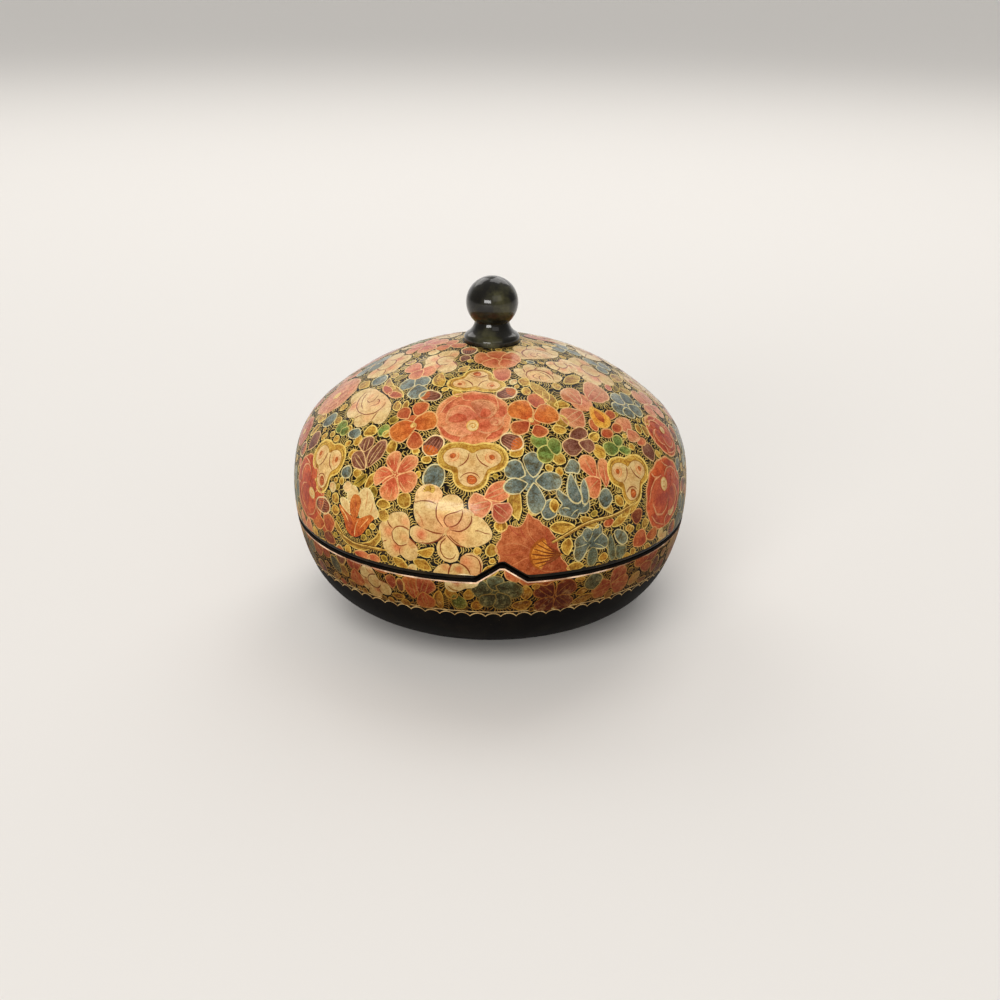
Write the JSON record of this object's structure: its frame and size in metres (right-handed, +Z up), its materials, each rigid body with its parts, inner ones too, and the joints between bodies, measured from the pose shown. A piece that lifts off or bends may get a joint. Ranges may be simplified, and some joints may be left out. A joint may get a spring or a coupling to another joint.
{
  "type": "lidded box",
  "caption": "Round papier-mache box with a domed lift-off lid, a turned knob, an index tongue at the seam and an all-over painted flower pattern.",
  "frame": {"origin": "centre of the foot's underside, on the table", "axes": "+Z up the box's axis through the knob, -Y the front, where the index tongue is, +X to the viewer's right"},
  "size_m": [0.127, 0.127, 0.1085],
  "materials": {
    "painted_ground": "gloss varnish over black lacquer",
    "plain_black": "satin black lacquer",
    "knob_black": "gloss black lacquer",
    "flower_paint": "gouache under gloss varnish",
    "leaf_paint": "gouache under gloss varnish",
    "gold_line": "fine gold paint lines under gloss varnish"
  },
  "bodies": {
    "base": {"bowl": "painted_ground", "foot": "plain_black", "collar": "plain_black"},
    "lid": {"lid": "painted_ground", "knob": "knob_black", "patch": "plain_black"}
  },
  "joints": [
    {"name": "lid_lift", "type": "slide", "parent": "base", "child": "lid", "axis": [0, 0, 1], "range_m": [0, 0.08]}
  ]
}
